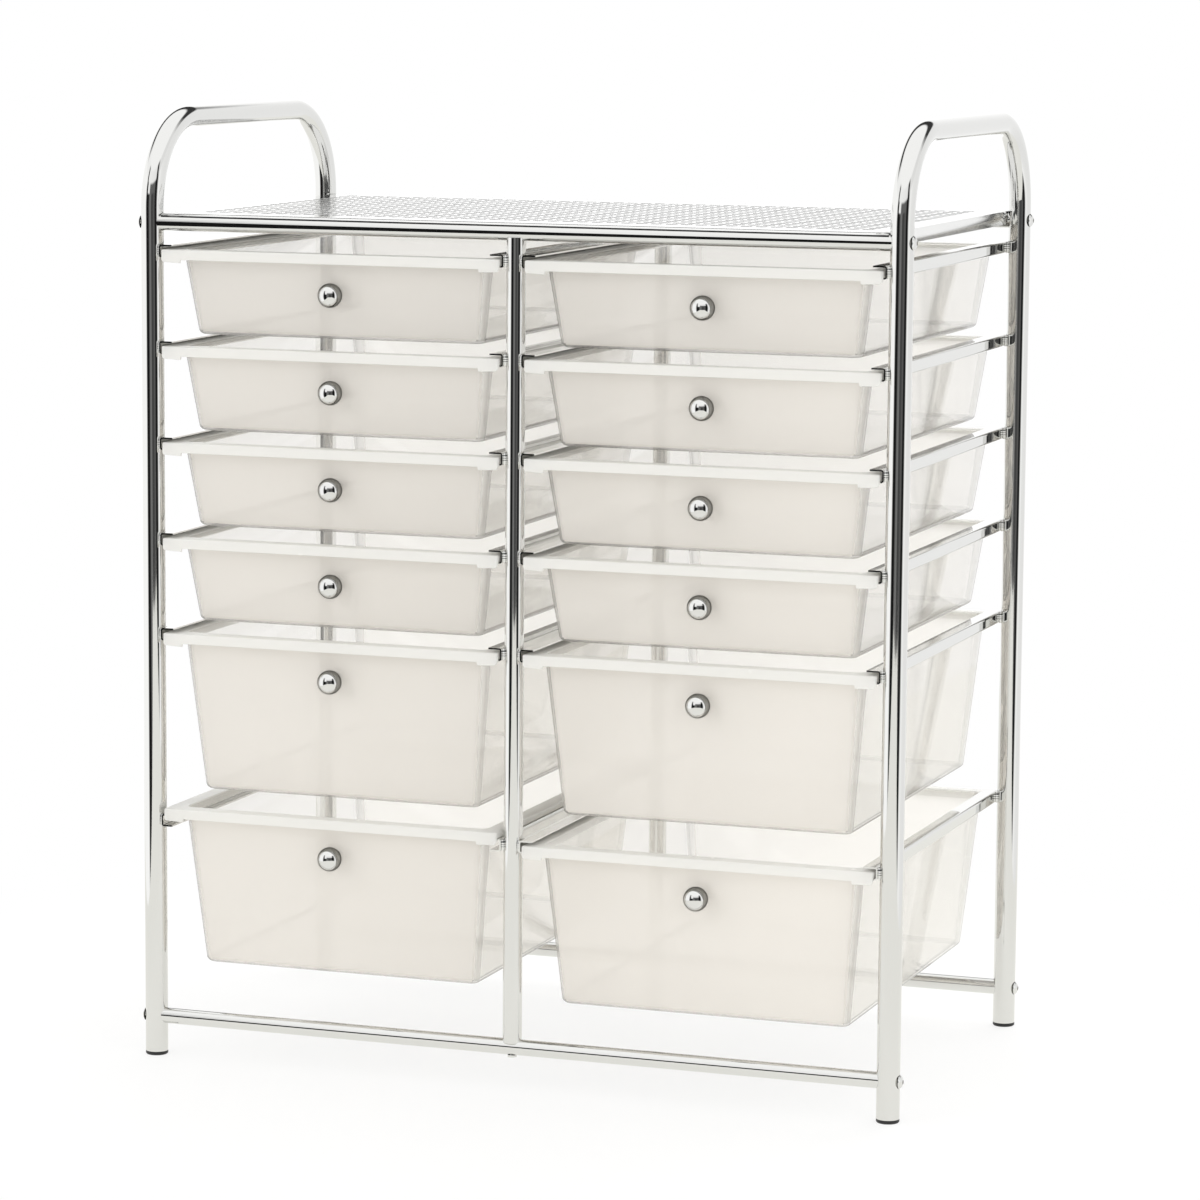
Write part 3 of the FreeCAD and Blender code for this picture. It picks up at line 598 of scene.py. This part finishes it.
def shelf():
    """Sheet hooked over the top bars and folded down at the sides, with rows of small slots."""
    low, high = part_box("top_shelf")
    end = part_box("top_front_bar")[0].y + BAR_RADIUS
    top, curl = high.z, CURL_RADIUS + SHEET
    columns = int((high.x - low.x - 2 * SLOT_MARGIN[0]) / SLOT_PITCH[0])
    rows = int((-2 * end - 2 * SLOT_MARGIN[1]) / SLOT_PITCH[1])
    vertices, faces, known = [], [], {}

    def vertex(x, y, z=top):
        """Index of the point there, which neighbouring faces share."""
        key = (round(x, 6), round(y, 6), round(z, 6))
        if key not in known:
            known[key] = len(vertices)
            vertices.append(Vector((x, y, z)))
        return known[key]

    # Perforated field: each cell is a ring of faces round its slot
    pitch_x, pitch_y = SLOT_PITCH
    long, wide = SLOT_SIZE[0] / 2, SLOT_SIZE[1] / 2
    for row in range(rows):
        y = (row - (rows - 1) / 2) * pitch_y
        for column in range(columns):
            middle = (column - (columns - 1) / 2) * pitch_x
            bevel = wide * SLOT_BEVEL
            hole = [(middle - long, y), (middle - long + bevel, y - wide), (middle + long - bevel, y - wide),
                    (middle + long, y), (middle + long - bevel, y + wide), (middle - long + bevel, y + wide)]
            left, right = middle - pitch_x / 2, middle + pitch_x / 2
            near, far = y - pitch_y / 2, y + pitch_y / 2
            ring = [(left, y), (left, near), (right, near), (right, y), (right, far), (left, far)]
            for step in range(6):
                after = (step + 1) % 6
                corners = (ring[step], ring[after], hole[after], hole[step])
                faces.append(tuple(vertex(*corner) for corner in corners))
    # Plain border round the field, with points at the slots' middles along its sides
    half_x, half_y = columns * pitch_x / 2, rows * pitch_y / 2
    across = [-half_x + column * pitch_x for column in range(columns + 1)]
    xs = [low.x] + across + [high.x]
    field = [-half_y + step * pitch_y / 2 for step in range(2 * rows + 1)]
    fold = end + FLANGE_SETBACK
    ys = [end, fold] + field + [-fold, -end]
    for left, right in zip(xs, xs[1:]):
        for near, far in zip(ys, ys[1:]):
            if max(abs(left), abs(right)) > half_x + MM or max(abs(near), abs(far)) > half_y + MM:
                faces.append((vertex(left, near), vertex(right, near), vertex(right, far), vertex(left, far)))

    def turned_face(outwards, *corners):
        """Face wound so that its outer side is outside on both ends or sides of the shelf."""
        points = [vertex(*corner) for corner in corners]
        faces.append(tuple(points if outwards > 0 else reversed(points)))

    # Curled front and rear edges, and folded sides
    for direction in (-1, 1):
        steps = [(direction * -end, top)]
        for step in range(1, CURL_STEPS + 1):
            angle = SHELF_CURL * step / CURL_STEPS
            steps.append((direction * (curl * math.sin(angle) - end), top - curl * (1 - math.cos(angle))))
        for (y, z), (next_y, next_z) in zip(steps, steps[1:]):
            for left, right in zip(xs, xs[1:]):
                turned_face(direction, (left, y, z), (right, y, z), (right, next_y, next_z),
                            (left, next_y, next_z))
    for direction, edge in ((-1, low.x), (1, high.x)):
        for near, far in zip(ys[1:-1], ys[2:-1]):
            turned_face(-direction, (edge, near, top), (edge, far, top), (edge, far, top - SHELF_FLANGE),
                        (edge, near, top - SHELF_FLANGE))
    piece = new_piece("top_shelf_sheet", vertices, faces, "frame", "shelf_chrome", [SHEET_CHROME, SLOT_EDGE_SHADE],
                      sharp=30)
    thick = piece.modifiers.new("sheet", "SOLIDIFY")
    thick.thickness = SHEET * SHEET_SHARE
    thick.offset = -1
    # The sheet's edges, the slots' walls among them, take the near-black steel: painted shade
    thick.material_offset_rim = 1
    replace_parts(piece, "top_shelf")


def welds(line, outer, reach):
    """Rippled weld beads on both sides of each post that a line of runners is fixed to."""
    low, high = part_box(f"{line}_runners")
    face, away = (low.x, -1) if outer < 0 else (high.x, 1)
    profile = []
    last = WELD_RINGS - 1
    for step in range(WELD_RINGS):
        swell = math.sin(math.pi * (step + WELD_END) / (last + 2 * WELD_END)) ** WELD_BLUNTNESS
        ripple = 1 + WELD_RIPPLE * math.cos(step * math.pi)
        profile.append((WELD_RADIUS * swell * ripple, WELD_LENGTH * (step / last - 0.5)))
    vertices, faces = [], []
    for row in ROWS:
        drop = (row - 1) * RUNNER_PITCH if row < ROWS[-1] else (row - 2) * RUNNER_PITCH + DEEP_PITCH
        for leg in (-reach, reach):
            for side in (-WELD_OFFSET, WELD_OFFSET):
                spot = Vector((face + away * WELD_GAP, leg + side, high.z - drop - RUNNER_HEIGHT / 2))
                points, quads = turned(profile, Matrix.Translation(spot), sides=12)
                faces += [tuple(index + len(vertices) for index in quad) for quad in quads]
                vertices += points
    new_piece(f"{line}_runner_welds", vertices, faces, "frame", "runner_chrome", [CHROME], sharp=60)


# CAD nodes that stay, with their finish
FINISH = {
    "frame_chrome": CHROME,
    "shelf_chrome": SHEET_CHROME,
    "runner_chrome": CHROME,
    "fastener_chrome": CHROME,
    "fastener_steel": STEEL,
    "knob_chrome": KNOB_CHROME,
    "plug_black": BLACK,
    "drawer_frosted": CLEAR,
}
for part in frame["record"]["subparts"]:
    node = nodes[part["node"]]
    for place in node.material_slots:
        place.material = FINISH[part["material_slot"]]
for column in COLUMNS:
    for row in ROWS:
        drawer(column, row)
        knob(column, row)
shelf()
for column in COLUMNS:
    side_frame(column)
bars_and_posts()
leg_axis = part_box("left_side_frame")[1].y - TUBE_RADIUS
for line, outer in (("left", -1), ("centre_left", 1), ("centre_right", -1), ("right", 1)):
    welds(line, outer, leg_axis)


# Floor, world, lamps and camera

def seen_directly(tree, path):
    """1 where the camera looks, straight or through plastic."""
    return joined(tree, "MAXIMUM", path.outputs["Is Camera Ray"], path.outputs["Is Transmission Ray"])


def paper_roll():
    """White paper under the cart, with a faint shadow near it. Further out it melts into the background."""
    made, tree, shader = new_material("white_paper")
    shader.inputs["Base Color"].default_value = (*ROLL_COLOUR, 1)
    tree.links.new(ranged(tree, noise(tree, ROLL_CLOUDS), *ROLL_ROUGHNESS), shader.inputs["Roughness"])
    place = add_node(tree, "TexCoord")
    away = add_node(tree, "VectorMath", operation="LENGTH")
    tree.links.new(place.outputs["Object"], away.inputs[0])
    fade = add_node(tree, "MapRange", interpolation_type="SMOOTHSTEP", From_Min=SHADOW_FADE[0],
                    From_Max=SHADOW_FADE[1], To_Min=1 - SHADOW_SHARE, To_Max=1.0)
    tree.links.new(away.outputs["Value"], fade.inputs["Value"])
    path = add_node(tree, "LightPath")
    tint = add_node(tree, "MixRGB", Color1=(1, 1, 1, 1), Color2=(*ROLL_MIRRORED, 1))
    tree.links.new(path.outputs["Is Glossy Ray"], tint.inputs["Fac"])
    white = add_node(tree, "Emission", Strength=1.0)
    tree.links.new(tint.outputs["Color"], white.inputs["Color"])
    faded = mixed_shader(tree, fade.outputs["Result"], shader.outputs["BSDF"], white.outputs["Emission"])
    seen = joined(tree, "MAXIMUM", seen_directly(tree, path), path.outputs["Is Glossy Ray"])
    shown = mixed_shader(tree, seen, shader.outputs["BSDF"], faded)
    tree.links.new(shown, tree.nodes["Material Output"].inputs["Surface"])
    half = ROLL_WIDTH / 2
    corners = [(-half, -ROLL_FRONT, 0), (half, -ROLL_FRONT, 0), (half, ROLL_REAR, 0), (-half, ROLL_REAR, 0)]
    mesh = bpy.data.meshes.new("paper_roll")
    mesh.from_pydata(corners, [], [(0, 1, 2, 3)])
    mesh.materials.append(made)
    roll = bpy.data.objects.new("paper_roll", mesh)
    roll.rotation_euler.z = CAMERA_AZIMUTH
    bpy.context.scene.collection.objects.link(roll)


def ring_of_light(tree, turn, stops):
    """Brightness round the horizon from stops of (angle, brightness)."""
    made = add_node(tree, "ValToRGB")
    ramp = made.color_ramp
    while len(ramp.elements) < len(stops):
        ramp.elements.new(0.5)
    for element, (angle, level) in zip(ramp.elements, stops):
        element.position = (angle + 180) / 360
        element.color = (level, level, level, 1)
    tree.links.new(turn, made.inputs["Fac"])
    return made.outputs["Color"]


def world():
    """Plain light on the object, white to the camera, and in reflections the rings of light."""
    made = bpy.data.worlds.new("studio")
    bpy.context.scene.world = made
    made.use_nodes = True
    tree = made.node_tree
    place = add_node(tree, "TexCoord")
    turned_to_camera = add_node(tree, "VectorRotate", rotation_type="Z_AXIS", Angle=-CAMERA_AZIMUTH)
    tree.links.new(place.outputs["Generated"], turned_to_camera.inputs["Vector"])
    parts = add_node(tree, "SeparateXYZ")
    tree.links.new(turned_to_camera.outputs["Vector"], parts.inputs["Vector"])
    ahead = joined(tree, "MULTIPLY", parts.outputs["Y"], -1)
    angle = joined(tree, "ARCTAN2", parts.outputs["X"], ahead)
    turn = joined(tree, "ADD", joined(tree, "DIVIDE", angle, 2 * math.pi), 0.5)
    shade = ring_of_light(tree, turn, LOW_RING)
    for stops, (start, end) in ((NEXT_RING, LOW_TOP), (HIGH_RING, NEXT_TOP), (None, HIGH_TOP)):
        rise = add_node(tree, "MapRange", interpolation_type="SMOOTHSTEP",
                        From_Min=math.sin(math.radians(start)), From_Max=math.sin(math.radians(end)))
        tree.links.new(parts.outputs["Z"], rise.inputs["Value"])
        over = add_node(tree, "MixRGB", Color2=(OVERHEAD, OVERHEAD, OVERHEAD, 1))
        tree.links.new(rise.outputs["Result"], over.inputs["Fac"])
        tree.links.new(shade, over.inputs["Color1"])
        if stops:
            tree.links.new(ring_of_light(tree, turn, stops), over.inputs["Color2"])
        shade = over.outputs["Color"]
    mirrored = add_node(tree, "Background", Strength=1.0)
    tree.links.new(shade, mirrored.inputs["Color"])
    plain = tree.nodes["Background"]
    plain.inputs["Color"].default_value = (1, 1, 1, 1)
    plain.inputs["Strength"].default_value = PLAIN_LIGHT
    white = add_node(tree, "Background", Color=(1, 1, 1, 1), Strength=1.0)
    path = add_node(tree, "LightPath")
    lit = mixed_shader(tree, path.outputs["Is Glossy Ray"], plain.outputs["Background"],
                       mirrored.outputs["Background"])
    shown = mixed_shader(tree, seen_directly(tree, path), lit, white.outputs["Background"])
    tree.links.new(shown, tree.nodes["World Output"].inputs["Surface"])


def lamp(name, place, aim, size, power):
    """Soft lamp that reflections don't show."""
    light = bpy.data.lights.new(name, "AREA")
    light.shape = "RECTANGLE"
    light.size, light.size_y = size
    light.energy = power
    made = bpy.data.objects.new(name, light)
    made.location = place
    made.rotation_euler = (Vector(aim) - Vector(place)).to_track_quat("-Z", "Y").to_euler()
    made.visible_glossy = False
    bpy.context.scene.collection.objects.link(made)


def camera():
    """Camera from its place, azimuth, pitch and roll."""
    forward = Vector((-math.sin(CAMERA_AZIMUTH) * math.cos(CAMERA_PITCH),
                      math.cos(CAMERA_AZIMUTH) * math.cos(CAMERA_PITCH), -math.sin(CAMERA_PITCH)))
    level = Vector((math.cos(CAMERA_AZIMUTH), math.sin(CAMERA_AZIMUTH), 0))
    up = level.cross(forward)
    right = math.cos(CAMERA_ROLL) * level + math.sin(CAMERA_ROLL) * up
    up = right.cross(forward)
    data = bpy.data.cameras.new("camera")
    data.sensor_width = SENSOR
    data.lens = CAMERA_LENS
    made = bpy.data.objects.new("camera", data)
    made.matrix_world = Matrix.Translation(CAMERA_PLACE) @ Matrix((right, up, -forward)).transposed().to_4x4()
    bpy.context.scene.collection.objects.link(made)
    bpy.context.scene.camera = made


paper_roll()
world()
for name, settings in LAMPS.items():
    lamp(name, *settings)
camera()
bpy.context.scene.view_settings.view_transform = "Standard"
